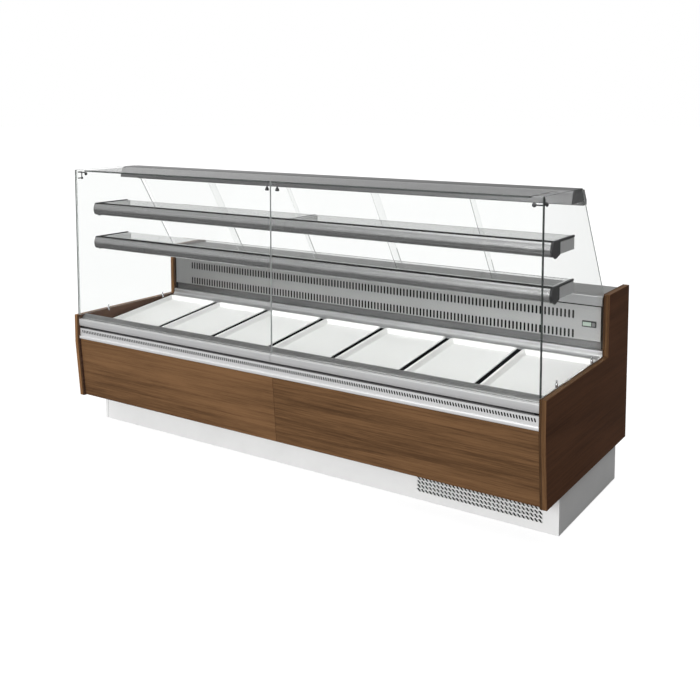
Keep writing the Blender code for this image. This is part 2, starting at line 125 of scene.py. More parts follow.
class Paint:
    """A material under construction: its tree, its shader and short ways to add nodes."""

    def __init__(self, name, colour, roughness, metallic=0.0, **settings):
        self.material = bpy.data.materials.new(name)
        self.material.use_nodes = True
        self.tree = self.material.node_tree
        self.shader = self.tree.nodes["Principled BSDF"]
        self.shader.inputs["Base Color"].default_value = (*colour, 1.0)
        self.shader.inputs["Roughness"].default_value = roughness
        self.shader.inputs["Metallic"].default_value = metallic
        for label, value in settings.items():
            self.shader.inputs[label.replace("_", " ")].default_value = value
        self.place = self.tree.nodes.new("ShaderNodeTexCoord").outputs["Object"]
        MATERIALS[name] = self.material

    def node(self, kind, **values):
        return add_node(self.tree, kind, **values)

    def link(self, source, target):
        self.tree.links.new(source, target)

    def stretched(self, scale, shift=(0.0, 0.0, 0.0)):
        mapping = self.node("ShaderNodeMapping", Scale=scale, Location=shift)
        self.link(self.place, mapping.inputs["Vector"])
        return mapping.outputs["Vector"]

    def noise(self, scale, shift=(0.0, 0.0, 0.0), detail=3.0, rough=0.5, distortion=0.0):
        texture = self.node("ShaderNodeTexNoise", Scale=1.0, Detail=detail, Roughness=rough,
                            Distortion=distortion)
        self.link(self.stretched(scale, shift), texture.inputs["Vector"])
        return texture.outputs["Fac"]

    def blend(self, first, second, share):
        mixed = self.node("ShaderNodeMix", data_type="FLOAT")
        mixed.inputs[0].default_value = share
        self.link(first, mixed.inputs[2])
        self.link(second, mixed.inputs[3])
        return mixed.outputs[0]

    def ramp(self, source, stops):
        ramp = self.node("ShaderNodeValToRGB")
        elements = ramp.color_ramp.elements
        while len(elements) < len(stops):
            elements.new(0.5)
        for element, (position, colour) in zip(elements, stops):
            element.position = position
            element.color = (*colour, 1.0)
        self.link(source, ramp.inputs["Fac"])
        return ramp.outputs["Color"]

    def between(self, source, low, high):
        ranged = self.node("ShaderNodeMapRange", To_Min=low, To_Max=high)
        self.link(source, ranged.inputs["Value"])
        return ranged.outputs["Result"]

    def bump(self, source, strength, distance):
        bump = self.node("ShaderNodeBump", Strength=strength, Distance=distance)
        self.link(source, bump.inputs["Height"])
        self.link(bump.outputs["Normal"], self.shader.inputs["Normal"])

    def set(self, label, source):
        self.link(source, self.shader.inputs[label])


def shade(colour, factor):
    return tuple(min(c * factor, 1.0) for c in colour)


def wood(name, grain, dark, light, shift, figure=1.0, gloss=0.14):
    """Walnut veneer under satin lacquer, with fibres along the grain axis (0 for X, 1 for Y)."""
    paint = Paint(name, light, 0.55, Specular_IOR_Level=gloss)

    def along(run, across):
        return tuple(run if axis == grain else across for axis in range(3))

    warp = paint.noise(along(0.9, 5.5), shift, detail=4.0, rough=0.55, distortion=0.7 * figure)
    rings = paint.noise(along(0.55, 26.0), shift, detail=5.0, rough=0.62, distortion=1.6 * figure)
    fibres = paint.noise(along(4.0, 170.0), shift, detail=3.0, rough=0.6)
    pores = paint.noise(along(30.0, 900.0), shift, detail=1.0)
    figure_mix = paint.blend(warp, rings, 0.50)
    grain_mix = paint.blend(figure_mix, paint.blend(fibres, pores, 0.30), 0.42)
    middle = tuple((a + b) / 2 for a, b in zip(dark, light))
    paint.set("Base Color", paint.ramp(grain_mix, (
        (0.32, shade(dark, 0.74)), (0.42, dark), (0.49, middle), (0.57, light),
        (0.68, shade(light, 1.14)))))
    paint.set("Roughness", paint.between(fibres, 0.48, 0.62))
    paint.bump(paint.blend(fibres, pores, 0.5), 0.25, 0.0006)


def metal(name, colour, roughness, run, streak=0.03, cloud=0.0, metallic=1.0):
    """Brushed metal with fine lines along the run axis and, where wanted, a soft clouding."""
    paint = Paint(name, colour, roughness, metallic=metallic)
    lines = paint.noise(tuple(3.0 if axis == run else 700.0 for axis in range(3)), detail=3.0)
    clouds = paint.noise((9.0, 9.0, 9.0), detail=5.0, rough=0.6)
    tone = paint.blend(lines, clouds, 0.5 if cloud else 0.2)
    spread = streak + cloud
    paint.set("Base Color", paint.ramp(tone, (
        (0.3, shade(colour, 1.0 - spread)), (0.7, shade(colour, 1.0 + spread)))))
    paint.set("Roughness", paint.between(tone, roughness - 0.02, roughness + 0.03))
    paint.bump(lines, 0.02, 0.0002)


def coated(name, colour, roughness, grain=900.0, depth=0.0003, variation=0.03, gloss=0.5):
    """Paint or moulded plastic: a fine skin texture and a faint unevenness of tone."""
    paint = Paint(name, colour, roughness, Specular_IOR_Level=gloss)
    skin = paint.noise((grain, grain, grain), detail=2.0)
    wear = paint.noise((6.0, 6.0, 6.0), detail=5.0, rough=0.65)
    paint.set("Base Color", paint.ramp(wear, (
        (0.3, shade(colour, 1.0 - variation)), (0.7, shade(colour, 1.0 + variation)))))
    paint.set("Roughness", paint.between(paint.blend(skin, wear, 0.5),
                                         roughness - 0.06, roughness + 0.08))
    paint.bump(skin, 0.15, depth)


def glass(name, tint, ior):
    """Clear tempered glass that lets the lamps' light through to what it encloses."""
    paint = Paint(name, tint, 0.0, Transmission_Weight=1.0, IOR=ior)
    smudge = paint.noise((3.0, 3.0, 3.0), detail=4.0, rough=0.6)
    paint.set("Roughness", paint.between(smudge, 0.0, 0.010))
    clear = paint.node("ShaderNodeBsdfTransparent", Color=(0.98, 0.985, 0.98, 1.0))
    path = paint.node("ShaderNodeLightPath")
    either = paint.node("ShaderNodeMixShader")
    paint.link(path.outputs["Is Shadow Ray"], either.inputs[0])
    paint.link(paint.shader.outputs[0], either.inputs[1])
    paint.link(clear.outputs[0], either.inputs[2])
    out = paint.tree.nodes["Material Output"]
    paint.link(either.outputs[0], out.inputs["Surface"])


def make_materials():
    light, dark = (0.204, 0.107, 0.049), (0.108, 0.055, 0.025)
    wood("walnut_left", 0, dark, light, (0.3, 0.0, 1.7), gloss=0.08)
    # The right board's walnut is the left one's darkened: painted shade of the light falling off
    # towards the right end; its stronger figure is the board's own.
    wood("walnut_right_shaded", 0, shade(dark, 0.86), shade(light, 0.93), (4.1, 0.0, 6.2), figure=1.8,
         gloss=0.08)
    # The side boards' walnut is darker than the front's: painted shade of the sides turned away
    # from the light.
    wood("walnut_side_shaded", 1, (0.086, 0.034, 0.014), (0.143, 0.061, 0.028), (1.9, 2.0, 3.1),
         gloss=0.05)
    wood("walnut_inner", 1, (0.110, 0.062, 0.043), (0.180, 0.108, 0.078), (3.9, 5.0, 2.1),
         gloss=0.05)
    wood("walnut_edge", 2, shade(dark, 0.85), shade(light, 0.75), (2.2, 5.0, 0.4), gloss=0.06)
    # A lighter copy of the edge walnut for the left side board: painted light on the side the light
    # comes from.
    wood("walnut_edge_left_lit", 2, shade(dark, 1.55), shade(light, 1.45), (5.2, 3.0, 1.4),
         gloss=0.06)
    wood("walnut_edge_dark", 2, shade(dark, 0.50), shade(light, 0.45), (7.2, 1.0, 2.4),
         gloss=0.06)
    metal("aluminium", (0.40, 0.40, 0.402), 0.26, run=0)
    metal("aluminium_dark", (0.20, 0.20, 0.202), 0.28, run=0)
    # Half metallic, so part of its brightness is diffuse white: painted reflection of the pale
    # floor.
    metal("aluminium_bright", (0.82, 0.82, 0.825), 0.28, run=0, metallic=0.45)
    metal("aluminium_mid", (0.52, 0.52, 0.525), 0.30, run=0)
    # Half metallic like the bright aluminium: its diffuse white is painted reflection of the pale
    # floor.
    metal("aluminium_rail", (0.66, 0.66, 0.665), 0.28, run=0, metallic=0.45)
    metal("stainless", (0.44, 0.44, 0.437), 0.36, run=0, cloud=0.02)
    metal("stainless_dark", (0.31, 0.31, 0.308), 0.38, run=0, cloud=0.02)
    metal("galvanised", (0.38, 0.39, 0.40), 0.42, run=0, cloud=0.14)
    metal("chrome", (0.62, 0.62, 0.64), 0.12, run=2, streak=0.03)
    metal("copper", (0.72, 0.34, 0.20), 0.30, run=0, cloud=0.08)
    coated("white_paint", (0.90, 0.90, 0.895), 0.42)
    coated("white_panel", (0.80, 0.81, 0.81), 0.45)
    coated("grey_paint", (0.36, 0.37, 0.38), 0.45)
    coated("tray_white", (0.90, 0.90, 0.89), 0.34, grain=500.0, variation=0.015)
    coated("black_plastic", (0.022, 0.022, 0.024), 0.50, variation=0.12, gloss=0.35)
    coated("shadow_black", (0.006, 0.006, 0.007), 0.90, variation=0.12, gloss=0.02)
    coated("grey_plastic", (0.155, 0.155, 0.159), 0.50, variation=0.06)
    coated("arm_grey", (0.74, 0.74, 0.745), 0.45, variation=0.05)
    coated("black_steel", (0.020, 0.020, 0.022), 0.36, grain=300.0, variation=0.2)
    coated("liner", (0.70, 0.71, 0.72), 0.50)
    coated("rubber", (0.020, 0.020, 0.020), 0.75, variation=0.10, gloss=0.10)
    coated("opal", (0.86, 0.86, 0.84), 0.50)
    coated("display_green", (0.45, 0.55, 0.47), 0.25, variation=0.05)
    # Opaque glass edge tones: the dark one is the glass's own green-black edge with painted shade;
    # the pale and light ones are painted light where edges catch the light.
    coated("glass_edge", (0.060, 0.066, 0.064), 0.60, variation=0.10, gloss=0.05)
    coated("glass_edge_pale", (0.34, 0.36, 0.355), 0.60, variation=0.10, gloss=0.05)
    coated("glass_edge_light", (0.68, 0.71, 0.70), 0.60, variation=0.04, gloss=0.05)
    glass("clear_glass", (0.930, 0.936, 0.932), 1.12)
    glass("shelf_glass", (0.965, 0.972, 0.968), 1.10)


def settle(name, bm, material, body=CABINET, stands_for=(), edge=0.0, steps=2, smooth=30.0,
           second=()):
    """Turn a bmesh into a finished piece riding on its body."""
    bmesh.ops.remove_doubles(bm, verts=bm.verts, dist=1e-6)
    bmesh.ops.recalc_face_normals(bm, faces=bm.faces)
    mesh = bpy.data.meshes.new(name)
    bm.to_mesh(mesh)
    bm.free()
    piece = bpy.data.objects.new(name, mesh)
    bpy.context.scene.collection.objects.link(piece)
    mesh.materials.append(MATERIALS[material])
    for extra in second:
        mesh.materials.append(MATERIALS[extra])
    mesh.shade_smooth()
    mesh.set_sharp_from_angle(angle=radians(smooth))
    if edge:
        bevel = piece.modifiers.new("edges", "BEVEL")
        bevel.width = edge
        bevel.segments = steps
        bevel.limit_method = "ANGLE"
        bevel.angle_limit = radians(30)
        bevel.harden_normals = True
    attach(piece, body)
    if stands_for:
        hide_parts(*stands_for)
    return piece


def rounded(profile, radius, steps=3):
    """The closed profile with each corner turned into a short curve."""
    made = []
    for k, corner in enumerate(profile):
        here = Vector(corner)
        before, after = Vector(profile[k - 1]), Vector(profile[(k + 1) % len(profile)])
        back = min(radius, 0.42 * (before - here).length)
        ahead = min(radius, 0.42 * (after - here).length)
        start = here + (before - here).normalized() * back
        end = here + (after - here).normalized() * ahead
        for n in range(steps + 1):
            t = n / steps
            made.append(tuple(start * (1 - t) ** 2 + here * 2 * t * (1 - t) + end * t ** 2))
    return made


def prism_mesh(bm, outline, low, high, axis):
    """Add a closed prism: its outline's two coordinates are the other two axes, f before z."""
    def point(a, b, along):
        if axis == "x":
            return (along, behind(a), b)
        if axis == "y":
            return (a, behind(along), b)
        return (a, behind(b), along)

    near = [bm.verts.new(point(a, b, low)) for a, b in outline]
    far = [bm.verts.new(point(a, b, high)) for a, b in outline]
    faces = [bm.faces.new(near), bm.faces.new(far[::-1])]
    for k in range(len(outline)):
        after = (k + 1) % len(outline)
        faces.append(bm.faces.new((near[k], far[k], far[after], near[after])))
    return faces


def prism(name, outline, low, high, material, axis="x", **settings):
    bm = bmesh.new()
    prism_mesh(bm, outline, low, high, axis)
    return settle(name, bm, material, **settings)


def extrusion(name, profile, low, high, material, radius=0.0008, **settings):
    """A profile with rounded corners run along X."""
    return prism(name, rounded(profile, radius), low, high, material, smooth=50.0, **settings)


def slab(name, box, material, edge=0.0008, **settings):
    """A block (x0, x1, f0, f1, z0, z1) with rounded edges."""
    x0, x1, f0, f1, z0, z1 = box
    outline = [(f0, z0), (f1, z0), (f1, z1), (f0, z1)]
    return prism(name, outline, x0, x1, material, edge=edge, **settings)


def bars(name, boxes, near, far, material, **settings):
    """One piece of flat bars (x0, x1, z0, z1), from near to far behind the front face."""
    bm = bmesh.new()
    for x0, x1, z0, z1 in boxes:
        prism_mesh(bm, [(x0, z0), (x1, z0), (x1, z1), (x0, z1)], near, far, "y")
    return settle(name, bm, material, **settings)


def turned_mesh(bm, rings, centre, axis="z", segments=24):
    """Add a solid turned from (radius, distance along the axis) rings about a centre."""
    turn = {"x": Matrix.Rotation(pi / 2, 3, "Y"), "y": Matrix.Rotation(-pi / 2, 3, "X"),
            "z": Matrix.Identity(3)}[axis]
    x, f, z = centre
    origin = Vector((x, behind(f), z))
    loops = []
    for radius, along in rings:
        loops.append([bm.verts.new(origin + turn @ Vector((
            radius * cos(tau * k / segments), radius * sin(tau * k / segments), along)))
            for k in range(segments)])
    for lower, upper in zip(loops, loops[1:]):
        for k in range(segments):
            after = (k + 1) % segments
            bm.faces.new((lower[k], lower[after], upper[after], upper[k]))
    bm.faces.new(loops[0][::-1])
    bm.faces.new(loops[-1])


def turned(name, rings, centre, material, axis="z", segments=24, **settings):
    bm = bmesh.new()
    turned_mesh(bm, rings, centre, axis, segments)
    return settle(name, bm, material, **settings)


def pipe(name, points, radius, material, closed=False):
    """A round bar or tube through points (x, f, z)."""
    curve = bpy.data.curves.new(name, "CURVE")
    curve.dimensions = "3D"
    curve.bevel_depth = radius
    curve.bevel_resolution = 4
    curve.use_fill_caps = True
    spline = curve.splines.new("POLY")
    spline.points.add(len(points) - 1)
    for point, (x, f, z) in zip(spline.points, points):
        point.co = (x, behind(f), z, 1.0)
    spline.use_cyclic_u = closed
    spline.use_smooth = True
    piece = bpy.data.objects.new(name, curve)
    bpy.context.scene.collection.objects.link(piece)
    curve.materials.append(MATERIALS[material])
    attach(piece, CABINET)
    return piece


def slot_outline(u, v, width, height, lean, steps=3):
    """A slot with round ends, leaning sideways by lean at its top, from its top right round."""
    radius = width / 2
    reach = height / 2 - radius
    points = []
    for k in range(4 * steps):
        turn = tau * (k + 0.5) / (4 * steps)
        rise = reach if sin(turn) > 0 else -reach
        points.append((u + radius * cos(turn) + lean * rise / (reach or 1.0),
                       v + radius * sin(turn) + rise))
    return points


def slotted_cell(bm, place, u0, u1, v0, v1, slot):
    """A rectangle with one slot through it, as four faces. The slot starts just above +u."""
    corners = [(u1, v1), (u0, v1), (u0, v0), (u1, v0)]
    quarter = len(slot) // 4
    ring = [bm.verts.new(place(u, v)) for u, v in slot]
    outer = [bm.verts.new(place(u, v)) for u, v in corners]
    half = quarter // 2
    for k in range(4):
        start = k * quarter + half
        stretch = [ring[(start + n) % len(ring)] for n in range(quarter + 1)]
        bm.faces.new([outer[k], *stretch, outer[(k + 1) % 4]][::-1])


def slotted_row(bm, place, u0, count, pitch, v0, v1, slot_size, lean=0.0):
    middle = (v0 + v1) / 2
    for k in range(count):
        left = u0 + k * pitch
        outline = slot_outline(left + pitch / 2, middle, *slot_size, lean)
        slotted_cell(bm, place, left, left + pitch, v0, v1, outline)


def plain_strip(bm, place, u0, count, pitch, v0, v1):
    """A band between slotted rows: one face whose long edges meet every cell's corners."""
    line = [u0 + k * pitch for k in range(count + 1)]
    lower = [bm.verts.new(place(u, v0)) for u in line]
    upper = [bm.verts.new(place(u, v1)) for u in reversed(line)]
    bm.faces.new(lower + upper)


def margin(bm, place, u0, u1, heights, inner_right):
    """A plain end of a slotted sheet, meeting the rows' corners on its inner edge."""
    inner, outer = (u1, u0) if inner_right else (u0, u1)
    points = [(outer, heights[0]), *((inner, v) for v in heights), (outer, heights[-1])]
    bm.faces.new([bm.verts.new(place(u, v)) for u, v in points])


def slotted_sheet(place, ends, start, count, pitch, levels, slotted, slot_size, lean=0.0):
    """A flat sheet from end to end, with a row of slots in each band numbered in slotted."""
    bm = bmesh.new()
    for n, (low, high) in enumerate(zip(levels, levels[1:])):
        if n in slotted:
            slotted_row(bm, place, start, count, pitch, low, high, slot_size, lean)
        else:
            plain_strip(bm, place, start, count, pitch, low, high)
    margin(bm, place, ends[0], start, levels, True)
    margin(bm, place, start + count * pitch, ends[1], levels, False)
    return bm


def upright(distance):
    """Places points (x, height) on a plane that stands this far behind the front face."""
    return lambda x, height: (x, behind(distance), height)


def thicken(piece, thickness, offset=-1.0):
    """Give a folded sheet its thickness. It stays flat shaded, so its faces read as flat."""
    piece.data.shade_flat()
    solid = piece.modifiers.new("sheet", "SOLIDIFY")
    solid.thickness = thickness
    solid.offset = offset


def mirrored(sign, low, high):
    return sorted((sign * low, sign * high))


SIDES = (("left", -1), ("right", 1))


# ---- wooden body --------------------------------------------------------------------------------
def side_panels():
    """Each side is a dark inner board and a thicker outer one, with a fine groove between them."""
    fold, lean = 0.440, 0.0245
    _, _, _, rear, bottom, rear_top = span("side_panel_right")
    step = 0.685
    outline = [(0.0, fold), (0.0, SILL), (step, SILL), (step, rear_top),
               (rear, rear_top), (rear, bottom), (lean, bottom)]
    groove, inner_t = 0.0007, 0.0085
    boards = (
        ("inner", INNER, INNER + inner_t, "walnut_edge_dark"),
        ("outer", INNER + inner_t + groove, SIDE_OUT, "walnut_edge"),
    )
    for side, sign in SIDES:
        for part, low, high, edge in boards:
            # The left outer board's edges take the lighter copy of the edge walnut: painted light.
            if (side, part) == ("left", "outer"):
                edge = "walnut_edge_left_lit"
            bm = bmesh.new()
            faces = prism_mesh(bm, outline, *mirrored(sign, low, high), "x")
            for rim in faces[2:]:
                rim.material_index = 1
            # The outer faces take the darker side walnut: painted shade.
            face = "walnut_inner" if part == "inner" else "walnut_side_shaded"
            settle(f"side_board_{side}_{part}", bm, face, second=(edge,),
                   edge=0.0012, stands_for=[f"side_panel_{side}"])


def front_boards():
    # The right board takes the walnut with painted shade.
    for node, material in (("front_panel_left", "walnut_left"),
                           ("front_panel_right", "walnut_right_shaded")):
        frame["nodes"][node].data.materials.clear()
        frame["nodes"][node].data.materials.append(MATERIALS[material])


# ---- front rail and vent ------------------------------------------------------------------------
def front_rail():
    nose = [
        (0.0098, 0.5222), (0.0062, 0.5275), (0.0046, 0.5345), (0.0040, 0.5430),
        (0.0040, 0.5550), (0.0060, 0.5572), (0.0185, 0.5580), (0.0225, 0.5640),
        (0.0510, 0.5768), (0.0550, 0.5755), (0.0555, 0.5300), (0.0160, 0.5205),
    ]
    seam = 0.0010
    joint = -0.007
    for part, low, high in (("left", -RAIL_HALF, joint - seam), ("right", joint + seam, RAIL_HALF)):
        extrusion(f"rail_nose_{part}", nose, low, high, "aluminium_rail", radius=0.0016,
                  stands_for=["front_rail"])
    top = [(0.0190, 0.5585), (0.0224, 0.5650), (0.0510, 0.5779), (0.0545, 0.5768),
           (0.0530, 0.5740), (0.0250, 0.5620)]
    extrusion("rail_top_strip", top, -RAIL_HALF, RAIL_HALF, "stainless_dark", radius=0.0008)
    sunk = 0.0004
    for n, (f, z) in enumerate(((0.0290, 0.5684), (0.0360, 0.5716), (0.0430, 0.5747))):
        pipe(f"rail_rib_{n + 1}", [(-RAIL_HALF, f, z - sunk), (RAIL_HALF, f, z - sunk)], 0.0009,
             "aluminium_dark")
    for side, sign in SIDES:
        block = mirrored(sign, RAIL_HALF - 0.022, RAIL_HALF)
        slab(f"rail_end_block_{side}", (*block, 0.0120, 0.0300, 0.5112, 0.5204), "shadow_black")


def vent_profile():
    """The slotted strip under the rail, with its bright lower lip."""
    face_f = 0.0100
    low, high = 0.4740, 0.5110
    pitch = 0.0118
    count = int(2 * RAIL_HALF / pitch) - 2
    start = -count * pitch / 2
    bm = slotted_sheet(upright(face_f), (-RAIL_HALF, RAIL_HALF), start, count, pitch,
                       (low, 0.4870, 0.5030, high), {1}, (0.0068, 0.0152), lean=-0.0015)
    sheet = settle("vent_strip", bm, "aluminium_bright", stands_for=["vent_profile"])
    thicken(sheet, 0.0010)
    lip = [(0.0040, 0.4600), (0.0060, 0.4578), (0.0280, 0.4578), (0.0300, 0.4600),
           (0.0300, 0.4735), (0.0115, 0.4735), (0.0100, 0.4740), (0.0040, 0.4712)]
    extrusion("vent_lip", lip, -RAIL_HALF, RAIL_HALF, "aluminium_bright", radius=0.0020)
    # The cap in the groove under the nose is dark aluminium: painted shade of the groove.
    cap = [(0.0100, 0.5112), (0.0100, 0.5125), (0.0165, 0.5180), (0.0300, 0.5180),
           (0.0300, 0.5112)]
    extrusion("vent_cap", cap, -RAIL_HALF, RAIL_HALF, "aluminium_dark")
    slab("vent_shadow_board", (-RAIL_HALF, RAIL_HALF, 0.0180, 0.0300, 0.4745, 0.5108),
         "shadow_black")


# ---- cold well ----------------------------------------------------------------------------------
def tray_outline(width, length, radius, steps=8):
    points = []
    for sx, sy, start in ((1, 1, 0.0), (-1, 1, pi / 2), (-1, -1, pi), (1, -1, 1.5 * pi)):
        for k in range(steps + 1):
            turn = start + k * pi / 2 / steps
            points.append((sx * (width / 2 - radius) + radius * cos(turn),
                           sy * (length / 2 - radius) + radius * sin(turn)))
    return points


def trays():
    """Seven pans with a rolled rim, drafted walls and a filleted floor."""
    width, length, depth = 0.325, TRAY_LENGTH, 0.020
    rim, draft, wall, lip, roll = 0.012, 0.005, 0.0014, 0.0032, 0.0014
    fillet = 0.006
    rings = [(0.0, -lip), (0.0, -roll)]
    rings += [(roll * (1 - cos(k * pi / 8)), roll * (sin(k * pi / 8) - 1)) for k in range(1, 5)]
    rings += [(rim - 0.003, 0.0), (rim - 0.001, -0.0006), (rim, -0.0022),
              (rim + draft * 0.5, -depth * 0.5)]
    floor_start = rim + draft
    for k in range(5):
        turn = k * pi / 8
        rings.append((floor_start + fillet * (1 - cos(turn)),
                      -depth + fillet * (1 - sin(turn))))
    under = [(floor_start + fillet, -depth - wall), (rim - wall, -fillet), (rim - wall, -wall),
             (wall, -wall - 0.0004), (wall, -lip)]
    for node in TRAYS:
        x0, x1 = span(node)[:2]
        middle = ((x0 + x1) / 2, behind(TRAY_MIDDLE_F), TRAY_MIDDLE_Z)
        set_down = Matrix.Translation(middle) @ TRAY_RISE
        bm = bmesh.new()
        loops = []
        for inset, z in rings + under:
            outline = tray_outline(width - 2 * inset, length - 2 * inset, max(0.024 - inset, 0.004))
            loops.append([bm.verts.new(set_down @ Vector((x, y, z))) for x, y in outline])
        pairs = list(zip(loops, loops[1:]))
        del pairs[len(rings) - 1]
        pairs.append((loops[-1], loops[0]))
        for upper, lower in pairs:
            for k in range(len(upper)):
                after = (k + 1) % len(upper)
                bm.faces.new((upper[k], upper[after], lower[after], lower[k]))
        bm.faces.new(loops[len(rings) - 1])
        bm.faces.new(loops[len(rings)])
        settle(f"{node}_pan", bm, "tray_white", body=body_of(node), stands_for=[node],
               smooth=50.0)


def deck():
    """What the trays rest on: dark bearers between them, the front grille and the rear ledge."""
    pitch = 2 * INNER / len(TRAYS)
    half, length, thick, below = 0.017, 0.510, 0.006, 0.0066
    middle = Vector((0.0, behind(TRAY_MIDDLE_F), TRAY_MIDDLE_Z))
    for n in range(len(TRAYS) + 1):
        x = (n - len(TRAYS) / 2) * pitch
        low, high = max(x - half, -INNER + 0.001), min(x + half, INNER - 0.001)
        bm = bmesh.new()
        bmesh.ops.create_cube(bm, size=1.0)
        bmesh.ops.scale(bm, verts=bm.verts, vec=(high - low, length, thick))
        bmesh.ops.translate(bm, verts=bm.verts, vec=((low + high) / 2, 0.0, -below))
        bmesh.ops.transform(bm, verts=bm.verts, matrix=Matrix.Translation(middle) @ TRAY_RISE)
        settle(f"deck_bearer_{n + 1}", bm, "shadow_black", edge=0.001)
    bright = [
        (0.6450, 0.5610), (0.6450, 0.5688), (0.6700, 0.5688), (0.6840, 0.5780), (0.6840, 0.5990),
        (0.6870, 0.6025), (0.7120, 0.6025), (0.7120, 0.5610),
    ]
    extrusion("tray_ledge", bright, -RAIL_HALF, RAIL_HALF, "aluminium_mid", radius=0.004,
              stands_for=["rear_ledge"])
    return_air_grille()


def return_air_grille():
    x0, x1, _, _, _, z1 = span("return_air_grille")
    top = 0.5060
    pitch = 0.012
    count = int((x1 - x0) / pitch) - 2
    start = -count * pitch / 2
    near, far = 0.0665, 0.1290
    bm = slotted_sheet(lambda x, f: (x, behind(f), top), (x0, x1), start, count, pitch,
                       (near, 0.0720, 0.0980, 0.1240, far), {1, 2}, (0.005, 0.022))
    sheet = settle("return_air_sheet", bm, "aluminium", stands_for=["return_air_grille"])
    thicken(sheet, 0.0015)
    step = [(0.1292, 0.5000), (0.1292, z1), (0.1375, z1), (0.1375, 0.5000)]
    extrusion("tray_stop", step, x0, x1, "aluminium")


def duct_panel():
    """The perforated air duct: two rows of upright slots, folded back along its foot."""
    x0, x1, _, _, foot, top = span("duct_panel")
    front = 0.6900
    pitch = 0.0180
    count = 122
    start = -count * pitch / 2
    rows = (0.6385, 0.6810, 0.7200, 0.7655)
    slot_size = (0.0088, 0.0365)
    place = upright(front)
    bm = slotted_sheet(place, (x0, x1), start, count, pitch, (*rows, top), {0, 2}, slot_size)
    line = [x0, *(start + k * pitch for k in range(count + 1)), x1]
    bend = [bm.verts.new(place(u, rows[0])) for u in line]
    back_f, back_z = 0.7000, 0.6330
    turn = [bm.verts.new((u, behind(back_f), back_z)) for u in (x1, x0)]
    bm.faces.new(bend + turn)
    heel = [bm.verts.new((u, behind(back_f), foot)) for u in (x0, x1)]
    bm.faces.new([turn[0], turn[1], *heel])
    bm.faces.ensure_lookup_table()
    # The fold and heel are painted dark: painted shade of the recess under the duct's foot.
    for folded in bm.faces[-2:]:
        folded.material_index = 1
    sheet = settle("duct_sheet", bm, "stainless", stands_for=["duct_panel"],
                   second=["aluminium_dark"])
    thicken(sheet, 0.0010)
    # A black board behind the slots and a black strip in the gap above the duct: painted shade.
    slab("duct_shadow_board", (x0, x1, 0.7040, 0.7145, foot, top), "shadow_black")
    slab("duct_top_shadow_strip", (x0, x1, 0.6915, 0.7035, top - 0.0060, top), "shadow_black")
    for side, sign in SIDES:
        seal = mirrored(sign, x1 + 0.0005, RAIL_HALF)
        slab(f"duct_end_seal_{side}", (*seal, 0.6960, 0.7140, foot, 0.7890), "rubber")


def thermometer():
    x0, x1, f0, f1, z0, z1 = span("thermometer")
    slab("thermometer_case", (x0, x1, f0 + 0.0012, f1, z0, z1), "black_plastic", edge=0.0012,
         stands_for=["thermometer"])
    slab("thermometer_window", (x0 + 0.004, x1 - 0.020, f0 + 0.0004, f0 + 0.0016,
                                z0 + 0.005, z1 - 0.005), "display_green", edge=0.0004)
    slab("thermometer_pad", (x1 - 0.016, x1 - 0.004, f0 + 0.0004, f0 + 0.0016,
                             z0 + 0.006, z1 - 0.006), "grey_plastic", edge=0.0004)


# ---- glazing ------------------------------------------------------------------------------------
def pane(name, outline, low, high, axis, ground, body, node, sheet="clear_glass"):
    """A glass sheet. Ground gives the numbered sides that have a ground edge, and the tone painted
    on each: dark for the edge's own green-black with painted shade, pale and light for painted
    light.
    """
    bm = bmesh.new()
    faces = prism_mesh(bm, outline, low, high, axis)
    for k, tone in ground.items():
        faces[2 + k].material_index = 1 + ("dark", "pale", "light").index(tone)
    settle(name, bm, sheet, edge=0.0008,
           second=("glass_edge", "glass_edge_pale", "glass_edge_light"), body=body,
           stands_for=[node])


def panes():
    foot = span("front_glass_right")[4]
    top = CAD_HIGH.z
    thick = 0.008
    outer = span("end_glass_right")[1]
    end = [(0.0125, SILL + 0.0004), (0.0125, top), (0.400, top), (0.684, 0.843),
           (0.684, SILL + 0.0004)]
    for side, sign in SIDES:
        low, high = mirrored(sign, outer - thick, outer)
        # The left panes' edges are painted paler: painted light on the side the light comes from.
        tone = "dark" if side == "right" else "pale"
        pane(f"end_pane_{side}", end, low, high, "x", {0: tone, 1: "dark", 2: "pale"}, CABINET,
             f"end_glass_{side}")
        inside, notch = RAIL_HALF - 0.001, SILL + 0.003
        front = [(0.001, foot), (inside, foot), (inside, notch), (outer, notch), (outer, top),
                 (0.001, top)]
        node = f"front_glass_{side}"
        # Side 5, where the two front panes meet in the middle, gets a painted highlight.
        pane(f"front_pane_{side}", [(sign * x, z) for x, z in front], 0.004, 0.004 + thick, "y",
             {3: tone, 5: "light"}, body_of(node), node)
    x0, x1, f0, f1, z0, z1 = span("top_glass")
    pane("top_pane", [(f0, z0), (f1, z0), (f1, z1), (f0, z1)], x0, x1, "x", {3: "dark"}, CABINET,
         "top_glass", sheet="shelf_glass")
    for level in ("upper", "lower"):
        box = span(f"shelf_glass_{level}")
        slab(f"shelf_pane_{level}", box, "shelf_glass", stands_for=[f"shelf_glass_{level}"])
    for node in DOORS:
        door = frame["nodes"][node]
        door.data.materials.clear()
        door.data.materials.append(MATERIALS["clear_glass"])


